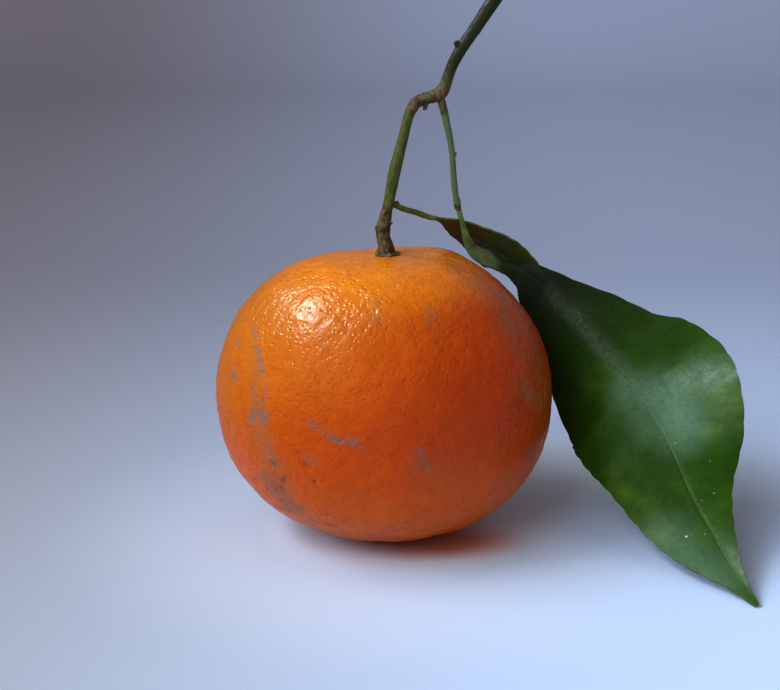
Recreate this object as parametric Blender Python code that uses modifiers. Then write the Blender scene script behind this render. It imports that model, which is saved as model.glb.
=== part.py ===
"""An orange as it was picked: the fruit, its calyx, the woody stem and two leaves.

The fruit rests on a flat in the plane z = 0, with the origin on that flat under its
middle. +X is the side that the stem and the large leaf lean to, and the large leaf's
tip comes down on the surface in front, towards -Y. Lengths below are in mm.
"""

import math

import bmesh
import bpy
import numpy as np
from mathutils import Matrix, Vector
from mathutils.bvhtree import BVHTree

MM = 0.001
GAP = 0.3

# The fruit, in its own axes: the stem end is up, and heights go from its widest level.
FRUIT_RADIUS = 37.0
FRUIT_TOP = 33.1
FRUIT_BOTTOM = 31.8
TOP_SQUARENESS = 2.13
BOTTOM_SQUARENESS = 2.18
STEM_DIP_DEPTH = 2.3
STEM_DIP_RADIUS = 16.3
SHOULDER_RISE = 1.5
SHOULDER_SPREAD = math.radians(17)
SHOULDER_SIDE = (0.36, 0.22, 0.86)
SEGMENT_SWELL = 0.15
SEGMENTS = 9
LEAN = -0.022
FRUIT_ROLL = math.radians(0.6)
FRUIT_PITCH = math.radians(5.0)
FRUIT_CENTRE = (0.0, 0.0, 31.35)
FRUIT_RINGS = 34
FRUIT_SEGMENTS = 56

# The calyx: five dried sepals round the foot of the stem.
CALYX_CENTRE = (0.6, 2.4)
CALYX_RADIUS = 2.5
SEPALS = 5
SEPAL_REACH = 1.2
SEPAL_SHARPNESS = 2.5
CALYX_THICKNESS = 0.6
CALYX_CROWN = 0.4
CALYX_CROWN_RADIUS = 1.9

# The stem: (x, y, z, radius) from its foot on the calyx, over the fork, to the cut end.
STEM_PATH = [
    (0.4, 2.4, 63.95, 1.95),
    (0.3, 2.4, 64.6, 1.8),
    (-0.1, 2.5, 66.2, 1.65),
    (-0.2, 2.6, 68.2, 1.6),
    (0.6, 2.9, 71.7, 1.2),
    (1.9, 3.7, 78.2, 1.3),
    (3.5, 4.8, 85.0, 1.2),
    (4.6, 5.6, 89.2, 1.1),
    (5.6, 6.2, 92.8, 1.15),
    (6.9, 6.6, 94.9, 1.3),
    (9.3, 7.0, 95.9, 1.3),
    (12.1, 7.4, 96.9, 1.5),
    (13.6, 8.0, 99.6, 1.25),
    (15.3, 9.0, 103.8, 1.25),
    (19.0, 10.5, 109.4, 1.35),
    (23.7, 12.5, 116.2, 1.55),
    (29.3, 14.5, 124.0, 1.6),
]
STEM_ROWS = 46
STEM_CUT = (27.6, 13.9, 121.6)
STEM_CUT_FACING = (0.35, 0.1, 1.0)

# The side twig, fused to the stem at its fork: (x, y, z, radius) down to the large leaf.
TWIG_PATH = [
    (12.1, 7.4, 96.7, 0.95),
    (13.5, 7.7, 91.0, 0.78),
    (14.6, 8.1, 85.4, 0.7),
    (15.1, 8.5, 80.9, 0.68),
    (15.4, 8.9, 77.1, 0.7),
    (16.2, 9.4, 71.6, 0.78),
]
TWIG_ROWS = 18

# Buds and the spur on the wood: (root, point, radius at the root).
BUDS = [
    ((0.4, 2.7, 68.6), (1.9, 2.2, 69.6), 0.75),
    ((-1.0, 2.2, 67.6), (-2.0, 1.7, 68.8), 0.8),
    ((9.0, 6.9, 95.6), (8.7, 6.4, 92.6), 0.8),
    ((16.9, 9.7, 106.3), (15.2, 9.0, 108.3), 0.9),
    ((15.0, 8.4, 83.2), (16.1, 8.2, 83.9), 0.55),
]

# Each leaf's path runs along its stalk and its midrib to the tip. Its outline gives, at
# places along the path, the left and right half widths and the angles in degrees that
# the two halves stand up from flat. Facing says where the upper side looks.
LARGE_LEAF = {
    "path": [
        (16.3, 9.4, 71.1),
        (17.2, 9.4, 68.0),
        (18.2, 9.5, 64.5),
        (19.8, 9.8, 61.5),
        (22.7, 10.6, 59.6),
        (25.5, 11.0, 58.2),
        (28.6, 11.6, 57.1),
        (31.8, 12.2, 55.6),
        (35.2, 13.2, 52.6),
        (39.2, 14.0, 47.8),
        (44.4, 12.2, 42.5),
        (49.5, 8.0, 36.7),
        (55.6, 1.6, 31.9),
        (59.9, -3.0, 26.5),
        (63.5, -9.5, 20.4),
        (66.3, -17.0, 14.2),
        (69.8, -26.5, 8.6),
        (73.0, -36.5, 4.4),
        (76.2, -45.0, 0.8),
    ],
    "facing": [
        (0, (-0.3, -0.95, 0.0)),
        (6, (-0.2, -0.95, 0.2)),
        (11, (0.0, -0.85, 0.5)),
        (15, (0.1, -0.6, 0.8)),
        (20, (0.1, -0.75, 0.65)),
        (30, (0.0, -0.85, 0.5)),
        (45, (-0.2, -0.9, 0.38)),
        (60, (-0.2, -0.92, 0.36)),
        (80, (-0.25, -0.85, 0.45)),
        (100, (-0.25, -0.7, 0.65)),
        (122, (-0.22, -0.55, 0.8)),
    ],
    "outline": [
        (0, 0.55, 0.55, 0, 0),
        (5, 0.65, 0.65, 0, 0),
        (12, 1.7, 1.7, 5, 5),
        (14.5, 2.0, 2.0, 8, 5),
        (17, 1.9, 1.9, 0, -20),
        (21, 2.8, 2.8, -12, -48),
        (26, 5.2, 5.8, -12, -52),
        (31, 7.6, 7.6, -16, -48),
        (37, 10.2, 10.5, -19, -40),
        (46, 13.1, 15.4, -8, -24),
        (56, 17.2, 19.2, 7, -4),
        (66, 18.8, 20.8, 10, 8),
        (76, 18.0, 18.6, 10, 12),
        (86, 15.2, 12.6, 10, 15),
        (96, 12.2, 8.4, 10, 38),
        (106, 8.4, 3.9, 10, 72),
        (114, 3.8, 1.4, 10, 80),
        (122, 0.6, 0.4, 10, 80),
    ],
    "blade_from": 15.0,
    "joint": 14.0,
    "rib": 0.4,
    "wave": 0.5,
    "tooth": 4.5,
    "rows": 84,
    "columns": 12,
}
SMALL_LEAF = {
    "path": [
        (2.6, 4.3, 73.6),
        (4.5, 5.2, 72.2),
        (7.4, 7.2, 70.8),
        (10.4, 9.6, 68.8),
        (13.6, 12.0, 67.3),
        (17.2, 14.4, 65.2),
        (21.6, 17.0, 62.5),
        (26.6, 21.4, 58.5),
        (31.5, 25.2, 53.8),
        (37.7, 28.4, 46.7),
        (44.4, 29.6, 38.4),
        (50.4, 29.6, 30.4),
    ],
    "facing": [
        (0, (0.2, 0.1, 1.0)),
        (8, (0.1, 0.2, 1.0)),
        (14, (0.0, 0.42, 0.9)),
        (30, (0.0, 0.45, 0.89)),
        (45, (0.25, 0.4, 0.85)),
        (72, (0.6, 0.3, 0.6)),
    ],
    "outline": [
        (0, 0.5, 0.5, 0, 0),
        (6, 0.55, 0.55, 0, 0),
        (11, 0.8, 0.8, 0, 0),
        (14, 2.0, 1.3, 6, 6),
        (19, 4.4, 3.4, 9, 9),
        (26, 5.6, 6.4, 10, 10),
        (34, 6.0, 8.0, 10, 10),
        (42, 6.0, 7.6, 10, 10),
        (51, 5.0, 6.2, 12, 12),
        (62, 2.8, 3.5, 14, 14),
        (72, 0.4, 0.4, 14, 14),
    ],
    "blade_from": 11.5,
    "joint": 10.6,
    "rib": 0.3,
    "wave": 0.4,
    "tooth": 4.0,
    "rows": 46,
    "columns": 10,
}
BLADE_THICKNESS = 0.6
STALK_THICKNESS = 1.1
RIB_WIDTH = 0.7
CREASE_RADIUS = 1.2
HALF_DROOP = 10.0
TOOTH_DEPTH = 0.25
JOINT_SWELL = 0.3
JOINT_LENGTH = 0.9
WAVE_LENGTH = 23.0
SECTION_STEPS = 8


def clear_scene():
    for old in list(bpy.data.objects):
        bpy.data.objects.remove(old, do_unlink=True)


def new_collection(name):
    collection = bpy.data.collections.new(name)
    bpy.context.scene.collection.children.link(collection)
    return collection


def new_material(name, colour, roughness):
    material = bpy.data.materials.new(name)
    material.use_nodes = True
    shader = material.node_tree.nodes["Principled BSDF"]
    shader.inputs["Base Color"].default_value = (*colour, 1.0)
    shader.inputs["Roughness"].default_value = roughness
    shader.inputs["Metallic"].default_value = 0.0
    return material


def add_object(name, mesh, material, collection):
    """An object of a bmesh, shaded smooth, with its one material."""
    data = bpy.data.meshes.new(name)
    mesh.to_mesh(data)
    mesh.free()
    data.materials.append(material)
    data.shade_smooth()
    data.set_sharp_from_angle(angle=math.radians(50))
    obj = bpy.data.objects.new(name, data)
    collection.objects.link(obj)
    return obj


def smooth_through(knots, values, places):
    """The natural cubic through values at the knots, read at the places."""
    knots = np.asarray(knots, float)
    values = np.asarray(values, float).reshape(len(knots), -1)
    gaps = np.diff(knots)
    matrix = np.eye(len(knots))
    right = np.zeros_like(values)
    for i in range(1, len(knots) - 1):
        matrix[i, i - 1 : i + 2] = gaps[i - 1], 2 * (gaps[i - 1] + gaps[i]), gaps[i]
        right[i] = 6 * (values[i + 1] - values[i]) / gaps[i]
        right[i] -= 6 * (values[i] - values[i - 1]) / gaps[i - 1]
    bend = np.linalg.solve(matrix, right)
    i = np.clip(np.searchsorted(knots, places, side="right") - 1, 0, len(gaps) - 1)
    gap = gaps[i][:, None]
    before = (knots[i + 1] - places)[:, None] / gap
    after = 1 - before
    bulge = (before**3 - before) * bend[i] + (after**3 - after) * bend[i + 1]
    return before * values[i] + after * values[i + 1] + bulge * gap**2 / 6


def distances(points):
    """How far along the chain each of its points lies."""
    steps = np.linalg.norm(np.diff(points, axis=0), axis=1)
    return np.concatenate([[0.0], np.cumsum(steps)])


def unit(vectors):
    return vectors / np.linalg.norm(vectors, axis=-1, keepdims=True)


def rind(directions):
    """Points of the rind in mm, for unit vectors in the fruit's own axes."""
    out = np.hypot(directions[:, 0], directions[:, 1])
    up = directions[:, 2]
    top = up > 0
    height = np.where(top, FRUIT_TOP, FRUIT_BOTTOM)
    power = np.where(top, TOP_SQUARENESS, BOTTOM_SQUARENESS)
    radius = ((out / FRUIT_RADIUS) ** power + (abs(up) / height) ** power) ** (-1 / power)
    shoulder = np.array(SHOULDER_SIDE) / np.linalg.norm(SHOULDER_SIDE)
    away = np.arccos(np.clip(directions @ shoulder, -1, 1))
    radius = radius + SHOULDER_RISE * np.exp(-((away / SHOULDER_SPREAD) ** 2))
    turn = np.arctan2(directions[:, 1], directions[:, 0])
    radius = radius + SEGMENT_SWELL * out**2 * np.cos(SEGMENTS * turn)
    points = directions * radius[:, None]
    spread = np.hypot(points[:, 0], points[:, 1]) / STEM_DIP_RADIUS
    points[:, 2] -= np.where(top, STEM_DIP_DEPTH * np.exp(-(spread**2)), 0)
    points[:, 0] += LEAN * points[:, 2]
    tilt = Matrix.Rotation(-FRUIT_PITCH, 3, "X") @ Matrix.Rotation(FRUIT_ROLL, 3, "Y")
    return points @ np.array(tilt).T + np.array(FRUIT_CENTRE)


def make_fruit(material, collection):
    """The whole fruit, with the flat that it rests on."""
    mesh = bmesh.new()
    bmesh.ops.create_uvsphere(
        mesh, u_segments=FRUIT_SEGMENTS, v_segments=FRUIT_RINGS, radius=1
    )
    directions = unit(np.array([vertex.co for vertex in mesh.verts]))
    for vertex, point in zip(mesh.verts, rind(directions)):
        vertex.co = Vector(point) * MM
    everything = mesh.verts[:] + mesh.edges[:] + mesh.faces[:]
    bmesh.ops.bisect_plane(
        mesh,
        geom=everything,
        dist=1e-7,
        plane_co=(0, 0, 0),
        plane_no=(0, 0, -1),
        clear_outer=True,
    )
    bmesh.ops.holes_fill(mesh, edges=[edge for edge in mesh.edges if edge.is_boundary])
    return add_object("fruit", mesh, material, collection)


def make_calyx(fruit, material, collection):
    """The star of sepals, laid on the rind round the foot of the stem."""
    rind_tree = BVHTree.FromObject(fruit, bpy.context.evaluated_depsgraph_get())
    mesh = bmesh.new()
    bmesh.ops.create_uvsphere(mesh, u_segments=40, v_segments=8, radius=1)
    for vertex in mesh.verts:
        level = vertex.co.z
        turn = math.atan2(vertex.co.y, vertex.co.x)
        sepal = (0.5 + 0.5 * math.cos(SEPALS * turn)) ** SEPAL_SHARPNESS
        reach = (CALYX_RADIUS + SEPAL_REACH * sepal) * math.hypot(vertex.co.x, vertex.co.y)
        x = CALYX_CENTRE[0] + reach * math.cos(turn)
        y = CALYX_CENTRE[1] + reach * math.sin(turn)
        hit = rind_tree.ray_cast(Vector((x, y, 100)) * MM, Vector((0, 0, -1)))[0]
        crown = CALYX_CROWN * math.exp(-((reach / CALYX_CROWN_RADIUS) ** 2))
        lift = (CALYX_THICKNESS + crown) * (0.5 + 0.5 * math.copysign(abs(level) ** 0.5, level))
        vertex.co = Vector((x, y, hit.z / MM + GAP + lift)) * MM
    return add_object("calyx", mesh, material, collection)


def tube(name, path, rows, sides, collection):
    """A closed mesh object along a smooth path whose points give x, y, z and radius."""
    path = np.array(path)
    along = distances(path[:, :3])
    samples = smooth_through(along, path, np.linspace(0, along[-1], rows))
    curve = bpy.data.curves.new(name + "_line", "CURVE")
    curve.dimensions = "3D"
    curve.bevel_depth = MM
    curve.bevel_resolution = (sides - 4) // 2
    curve.use_fill_caps = True
    spline = curve.splines.new("POLY")
    spline.points.add(rows - 1)
    for point, (x, y, z, radius) in zip(spline.points, samples):
        point.co = (x * MM, y * MM, z * MM, 1)
        point.radius = radius
    line = bpy.data.objects.new(name + "_line", curve)
    collection.objects.link(line)
    graph = bpy.context.evaluated_depsgraph_get()
    data = bpy.data.meshes.new_from_object(line.evaluated_get(graph))
    mesh = bmesh.new()
    mesh.from_mesh(data)
    bmesh.ops.remove_doubles(mesh, verts=mesh.verts[:], dist=0.01 * MM)
    mesh.to_mesh(data)
    mesh.free()
    bpy.data.objects.remove(line, do_unlink=True)
    obj = bpy.data.objects.new(name, data)
    collection.objects.link(obj)
    return obj


def bud(name, root, point, radius, collection):
    """A small pointed bud or spur that leans out of the wood."""
    root = Vector(root) * MM
    point = Vector(point) * MM
    out = point - root
    mesh = bmesh.new()
    bmesh.ops.create_cone(
        mesh,
        cap_ends=True,
        segments=8,
        radius1=radius * MM,
        radius2=radius * MM * 0.25,
        depth=out.length,
    )
    turn = out.to_track_quat("Z", "Y").to_matrix().to_4x4()
    place = Matrix.Translation((root + point) / 2) @ turn
    bmesh.ops.transform(mesh, matrix=place, verts=mesh.verts[:])
    data = bpy.data.meshes.new(name)
    mesh.to_mesh(data)
    mesh.free()
    obj = bpy.data.objects.new(name, data)
    collection.objects.link(obj)
    return obj


def cut_end(obj, place, facing):
    """Cuts the tube off with a flat slanted face."""
    mesh = bmesh.new()
    mesh.from_mesh(obj.data)
    bmesh.ops.bisect_plane(
        mesh,
        geom=mesh.verts[:] + mesh.edges[:] + mesh.faces[:],
        dist=1e-7,
        plane_co=Vector(place) * MM,
        plane_no=Vector(facing),
        clear_outer=True,
    )
    bmesh.ops.holes_fill(mesh, edges=[edge for edge in mesh.edges if edge.is_boundary])
    mesh.to_mesh(obj.data)
    mesh.free()


def make_stem(material, collection, tools):
    """The stem with its side twig, buds and spur, grown as one piece."""
    stem = tube("stem_wood", STEM_PATH, STEM_ROWS, 12, tools)
    cut_end(stem, STEM_CUT, STEM_CUT_FACING)
    growths = new_collection("growths")
    tube("twig_wood", TWIG_PATH, TWIG_ROWS, 10, growths)
    for number, (root, point, radius) in enumerate(BUDS, 1):
        bud(f"bud_{number}", root, point, radius, growths)
    union = stem.modifiers.new("growths", "BOOLEAN")
    union.operation = "UNION"
    union.operand_type = "COLLECTION"
    union.collection = growths
    union.solver = "EXACT"
    graph = bpy.context.evaluated_depsgraph_get()
    mesh = bmesh.new()
    mesh.from_mesh(stem.evaluated_get(graph).to_mesh())
    for used in [stem, *growths.objects]:
        bpy.data.objects.remove(used, do_unlink=True)
    bpy.data.collections.remove(growths)
    return add_object("stem", mesh, material, collection)


def section(reach, fold, width):
    """How far across and up a half blade goes, out to reach from the midrib.

    The half turns up to its fold within the crease, and droops towards its margin.
    """
    steps = (np.arange(SECTION_STEPS) + 0.5) / SECTION_STEPS
    out = reach[:, None] * steps
    angle = fold[:, None] * (1 - np.exp(-out / CREASE_RADIUS))
    angle = angle - math.radians(HALF_DROOP) * out / width[:, None]
    across = np.cos(angle).mean(axis=1) * reach
    return across, np.sin(angle).mean(axis=1) * reach


def leaf_surface(leaf, u, v):
    """The upper side in mm: u runs from -1 at the left margin to 1, v from stalk to tip."""
    path = np.array(leaf["path"])
    along = distances(path)
    place = v * along[-1]
    centre = smooth_through(along, path, place)
    step = 0.1
    tangent = unit(
        smooth_through(along, path, np.clip(place + step, 0, along[-1]))
        - smooth_through(along, path, np.clip(place - step, 0, along[-1]))
    )
    looks = unit(np.array([facing for _, facing in leaf["facing"]]))
    normal = smooth_through([where for where, _ in leaf["facing"]], looks, place)
    normal = unit(normal - (normal * tangent).sum(axis=1, keepdims=True) * tangent)
    to_right = np.cross(normal, tangent)
    outline = np.array(leaf["outline"], float)
    rows = smooth_through(outline[:, 0], outline[:, 1:], place)
    side = np.where(u < 0, -1.0, 1.0)
    width = np.where(u < 0, rows[:, 0], rows[:, 1])
    fold = np.radians(np.where(u < 0, rows[:, 2], rows[:, 3]))
    blade = np.clip((place - leaf["blade_from"]) / 6, 0, 1)
    tooth = abs(np.sin(math.pi * place / leaf["tooth"] + side)) - 0.6
    width = width + blade * TOOTH_DEPTH * tooth * np.minimum(1, width / 3)
    joint = np.exp(-(((place - leaf["joint"]) / JOINT_LENGTH) ** 2))
    width = width + JOINT_SWELL * joint
    across, up = section(abs(u) * width, fold, width)
    wave = np.sin(2 * math.pi * place / WAVE_LENGTH + 1.3 * side)
    up = up + leaf["wave"] * blade * wave * u**2 * np.minimum(1, width / 10)
    points = centre + (side * across)[:, None] * to_right + up[:, None] * normal
    return points, place, abs(u) * width, along[-1]


def make_leaf(name, leaf, material, collection):
    """A leaf: an open sheet by formula, thickened below into blade, rib and stalk."""
    mesh = bmesh.new()
    bmesh.ops.create_grid(
        mesh, x_segments=leaf["columns"], y_segments=leaf["rows"], size=1
    )
    bmesh.ops.triangulate(mesh, faces=mesh.faces[:], quad_method="FIXED")
    bmesh.ops.reverse_faces(mesh, faces=mesh.faces[:])
    grid = np.array([vertex.co for vertex in mesh.verts])
    points, place, reach, length = leaf_surface(leaf, grid[:, 0], (grid[:, 1] + 1) / 2)
    for vertex, point in zip(mesh.verts, points):
        vertex.co = Vector(point) * MM
    fade = np.clip(1 - (place - leaf["blade_from"]) / (length - leaf["blade_from"]), 0, 1)
    rib = leaf["rib"] * fade * np.exp(-((reach / RIB_WIDTH) ** 2))
    stalk = np.clip((leaf["blade_from"] - place) / 3, 0, 1)
    stalk = (STALK_THICKNESS - BLADE_THICKNESS) * stalk * np.exp(-(reach**2))
    joint = JOINT_SWELL * np.exp(-(((place - leaf["joint"]) / JOINT_LENGTH) ** 2))
    thickness = BLADE_THICKNESS + np.maximum(rib, stalk) + joint
    leaf_object = add_object(name, mesh, material, collection)
    group = leaf_object.vertex_groups.new(name="thickness")
    for index, value in enumerate(thickness / thickness.max()):
        group.add([index], value, "REPLACE")
    solid = leaf_object.modifiers.new("thickness", "SOLIDIFY")
    solid.thickness = thickness.max() * MM
    solid.offset = -1
    solid.vertex_group = "thickness"
    return leaf_object


def main():
    clear_scene()
    orange = new_collection("orange")
    tools = new_collection("tools")
    rind_orange = new_material("rind_orange", (0.62, 0.13, 0.008), 0.38)
    sepal_brown = new_material("sepal_brown", (0.10, 0.09, 0.05), 0.8)
    bark_green = new_material("bark_green", (0.13, 0.15, 0.05), 0.65)
    leaf_green = new_material("leaf_green", (0.03, 0.10, 0.015), 0.35)
    leaf_olive = new_material("leaf_olive", (0.05, 0.08, 0.01), 0.5)
    fruit = make_fruit(rind_orange, orange)
    make_calyx(fruit, sepal_brown, orange)
    make_stem(bark_green, orange, tools)
    make_leaf("leaf_large", LARGE_LEAF, leaf_green, orange)
    make_leaf("leaf_small", SMALL_LEAF, leaf_olive, orange)


main()
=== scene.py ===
"""The looks of a picked orange: its pitted rind, dried calyx, barked stem and veined leaves.

Every piece is built on the measured form of the solid that it stands for. Lengths are in
millimetres until a mesh is made, and the settings hold what a user would change. The file
is laid out as an add-on, with one operator for each piece and one for the stage.
"""

import math

import bmesh
import bpy
import numpy as np
from bpy.props import FloatProperty, FloatVectorProperty, IntProperty, PointerProperty
from bpy.types import Operator, Panel, PropertyGroup
from mathutils import Matrix, Quaternion, Vector
from mathutils.bvhtree import BVHTree


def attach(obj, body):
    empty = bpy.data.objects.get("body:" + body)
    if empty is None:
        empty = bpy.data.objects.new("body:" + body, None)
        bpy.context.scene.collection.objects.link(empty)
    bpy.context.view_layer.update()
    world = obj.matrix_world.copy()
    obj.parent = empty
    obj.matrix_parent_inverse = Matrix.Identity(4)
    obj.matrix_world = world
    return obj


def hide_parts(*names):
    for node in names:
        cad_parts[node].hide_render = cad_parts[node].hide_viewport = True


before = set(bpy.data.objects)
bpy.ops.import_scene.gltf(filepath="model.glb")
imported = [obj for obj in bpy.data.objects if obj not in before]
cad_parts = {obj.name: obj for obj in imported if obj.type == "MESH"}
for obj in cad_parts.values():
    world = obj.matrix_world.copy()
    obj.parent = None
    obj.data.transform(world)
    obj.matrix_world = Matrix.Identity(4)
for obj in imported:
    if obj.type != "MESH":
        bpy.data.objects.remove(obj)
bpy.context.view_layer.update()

bl_info = {
    "name": "Picked Orange",
    "version": (1, 0, 0),
    "blender": (4, 5, 0),
    "location": "3D View > Sidebar > Orange",
    "description": "Builds a picked orange with its stem and leaves, and a plain studio round it",
    "category": "Object",
}

MM = 0.001

# The fruit, in its own axes: the stem end is up, and heights go from its widest level.
FRUIT_RADIUS = 37.0
FRUIT_TOP = 33.1
FRUIT_BOTTOM = 31.8
TOP_SQUARENESS = 2.13
BOTTOM_SQUARENESS = 2.18
STEM_DIP_DEPTH = 2.3
STEM_DIP_RADIUS = 16.3
SHOULDER_RISE = 1.5
SHOULDER_SPREAD = math.radians(17)
SHOULDER_SIDE = (0.36, 0.22, 0.86)
SEGMENT_SWELL = 0.15
SEGMENTS = 9
LEAN = -0.022
FRUIT_ROLL = math.radians(0.6)
FRUIT_PITCH = math.radians(5.0)
FRUIT_CENTRE = (0.0, 0.0, 31.35)

# Relief of the rind: (size across, height) of each order of swelling, and the folds that
# run in to the calyx.
RIND_SWELLINGS = [(13.0, 0.09), (4.6, 0.035), (2.3, 0.04)]
RIND_DIMPLE_SIZE = 1.5
RIND_DIMPLE_DEPTH = 0.035
CALYX_FOLDS = 11
CALYX_FOLD_HEIGHT = 0.07
CALYX_FOLD_REACH = 5.5

# The calyx: five dried sepals round the foot of the stem.
CALYX_CENTRE = (0.6, 2.4)
CALYX_RADIUS = 2.1
SEPALS = 5
SEPAL_REACH = 0.9
SEPAL_SHARPNESS = 2.6
CALYX_THICKNESS = 0.75
CALYX_SINK = 0.2
CALYX_CROWN = 0.75
CALYX_CROWN_RADIUS = 1.9
SEPAL_RIDGE = 0.16
CALYX_SWELLINGS = (0.9, 0.05)

# The stem: (x, y, z, radius) from its foot in the calyx, over the fork, to the cut end.
STEM_PATH = [
    (0.45, 2.4, 63.0, 1.95), (0.4, 2.4, 63.95, 1.8), (0.3, 2.4, 64.6, 1.62),
    (-0.1, 2.5, 66.2, 1.5), (-0.15, 2.6, 68.2, 1.5), (0.6, 2.9, 71.7, 1.2),
    (1.9, 3.7, 78.2, 1.3), (3.5, 4.8, 85.0, 1.2), (4.6, 5.6, 89.2, 1.1), (5.6, 6.2, 92.8, 1.15),
    (6.9, 6.6, 94.9, 1.3), (9.3, 7.0, 95.9, 1.3), (12.1, 7.4, 96.9, 1.5),
    (13.6, 8.0, 99.6, 1.25), (15.3, 9.0, 103.8, 1.25), (19.0, 10.5, 109.4, 1.35),
    (23.7, 12.5, 116.2, 1.55), (29.3, 14.5, 124.0, 1.6),
]
STEM_CUT = (27.6, 13.9, 121.6)
STEM_CUT_FACING = (0.35, 0.1, 1.0)
TWIG_PATH = [
    (11.9, 7.4, 97.2, 0.95), (13.5, 7.7, 91.0, 0.78), (14.6, 8.1, 85.4, 0.7),
    (15.1, 8.5, 80.9, 0.68), (15.4, 8.9, 77.1, 0.7), (15.9, 9.2, 73.4, 0.72),
    (16.15, 9.4, 72.0, 0.8), (16.3, 9.4, 70.9, 0.72),
]
TWIG_JOINT = (16.2, 9.4, 71.6)
TWIG_JOINT_SPAN = 2

# Buds, the spur and the leaf's cushion: (root, point, radius at the root, at the point).
BUDS = [
    ((0.4, 2.7, 68.6), (1.9, 2.2, 69.6), 0.75, 0.2),
    ((-1.0, 2.2, 67.6), (-2.0, 1.7, 68.8), 0.8, 0.25),
    ((9.0, 6.9, 95.2), (8.9, 6.5, 93.4), 0.8, 0.35),
    ((16.6, 9.5, 105.9), (15.4, 9.1, 107.8), 0.95, 0.5),
    ((15.0, 8.4, 82.9), (15.75, 8.2, 83.7), 0.6, 0.3),
    ((0.9, 3.2, 73.3), (3.2, 4.6, 73.25), 0.85, 0.5),
    ((12.0, 7.3, 96.8), (13.1, 6.4, 97.6), 1.1, 0.5),
]

# Relief of the bark: how much each order is drawn out up the stem (less is longer), its
# size across and its height, and how much of it the youngest bark has.
BARK_RELIEF = [(0.25, 0.9, 0.06), (1.0, 1.6, 0.05)]
YOUNG_RELIEF = 0.35

# Where the wood is brown and corky: (centre of the stretch, half its length).
OLD_WOOD = [
    ((0.2, 2.6, 67.0), 6.6), ((9.2, 6.9, 95.6), 5.0),
]

# Each leaf's path runs along its stalk and its midrib to the tip. Its outline gives, at
# places along the path, the left and right half widths and the angles in degrees that
# the two halves stand up from flat. Facing says where the upper side looks.
LARGE_LEAF = {
    "path": [
        (16.3, 9.4, 71.1), (17.2, 9.4, 68.0), (18.2, 9.5, 64.5), (19.8, 9.8, 61.5),
        (22.7, 10.6, 59.6), (25.5, 11.0, 58.2), (28.6, 11.6, 57.1), (31.8, 12.2, 55.6),
        (35.2, 13.2, 52.6), (39.2, 14.0, 47.8), (44.4, 12.2, 42.5), (49.5, 8.0, 36.7),
        (55.6, 1.6, 31.9), (59.9, -3.0, 26.5), (63.5, -9.5, 20.4), (66.3, -17.0, 14.2),
        (69.8, -26.5, 8.6), (73.0, -36.5, 4.4), (76.2, -45.0, 0.8),
    ],
    "facing": [
        (0, (-0.3, -0.95, 0.0)), (6, (-0.2, -0.95, 0.2)), (11, (0.0, -0.85, 0.5)),
        (15, (0.1, -0.6, 0.8)), (20, (0.1, -0.75, 0.65)), (30, (0.0, -0.85, 0.5)),
        (45, (-0.2, -0.9, 0.38)), (60, (-0.2, -0.92, 0.36)), (80, (-0.25, -0.85, 0.45)),
        (100, (-0.25, -0.7, 0.65)), (122, (-0.22, -0.55, 0.8)),
    ],
    "outline": [
        (0, 0.55, 0.55, 0, 0), (5, 0.65, 0.65, 0, 0), (12, 1.7, 1.7, 5, 5),
        (14.5, 2.0, 2.0, 8, 5), (17, 1.9, 1.9, 0, -20), (21, 2.8, 2.8, -12, -48),
        (26, 5.2, 5.8, -12, -52), (31, 7.6, 7.6, -16, -40), (37, 10.2, 10.5, -22, -30),
        (46, 13.4, 15.4, -16, -22), (56, 18.6, 20.2, -7, -16), (61, 19.1, 21.4, -2, -12),
        (66, 19.2, 21.3, 3, 2), (76, 18.0, 18.8, 10, 13), (86, 15.2, 12.0, 11, -6),
        (96, 12.2, 6.8, 10, -6), (106, 8.4, 3.3, 10, 14), (114, 3.8, 1.4, 10, 30),
        (122, 0.6, 0.4, 10, 30),
    ],
    "blade_from": 15.0,
    "joint": 14.0,
    "rib": 0.4,
    "wave": 0.15,
    "tooth": 4.5,
    "crease": {"from": 61.7, "slant": 0.1, "depth": 1.5, "reach": 9.0},
    "rows": 330,
    "columns": 56,
}
SMALL_LEAF = {
    "path": [
        (2.6, 4.3, 73.6), (4.5, 5.2, 72.5), (7.4, 7.2, 71.2), (10.4, 9.6, 69.4),
        (13.6, 12.0, 67.8), (17.2, 14.4, 65.2), (21.6, 17.0, 62.5), (26.6, 21.4, 58.5),
        (31.5, 25.2, 53.8), (37.7, 28.4, 46.7), (44.4, 29.6, 38.4), (50.4, 29.6, 30.4),
    ],
    "facing": [
        (0, (0.2, 0.1, 1.0)), (8, (0.1, 0.2, 1.0)), (14, (0.0, 0.42, 0.9)),
        (30, (0.0, 0.45, 0.89)), (45, (0.25, 0.4, 0.85)), (72, (0.6, 0.3, 0.6)),
    ],
    "outline": [
        (0, 0.5, 0.5, 0, 0), (6, 0.55, 0.55, 0, 0), (11, 0.8, 0.8, 0, 0), (14, 2.0, 1.3, 6, 6),
        (19, 4.4, 3.4, 9, 9), (26, 5.6, 6.4, 10, 10), (34, 6.0, 8.0, 10, 10),
        (42, 6.0, 7.6, 10, 10), (51, 5.0, 6.2, 12, 12), (62, 2.8, 3.5, 14, 14),
        (72, 0.4, 0.4, 14, 14),
    ],
    "blade_from": 11.5,
    "joint": 10.6,
    "rib": 0.3,
    "wave": 0.4,
    "tooth": 4.0,
    "rows": 220,
    "columns": 44,
}
RIB_WIDTH = 0.7
BLADE_EASE = 6
STALK_EASE = 3
CREASE_RADIUS = 1.2
HALF_DROOP = 10.0
TOOTH_DEPTH = 0.25
JOINT_SWELL = 0.3
JOINT_LENGTH = 0.9
WAVE_LENGTH = 23.0
SECTION_STEPS = 8
MIDRIB_CROWDING = 1.5
GROOVE_DEPTH = 0.16
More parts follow.
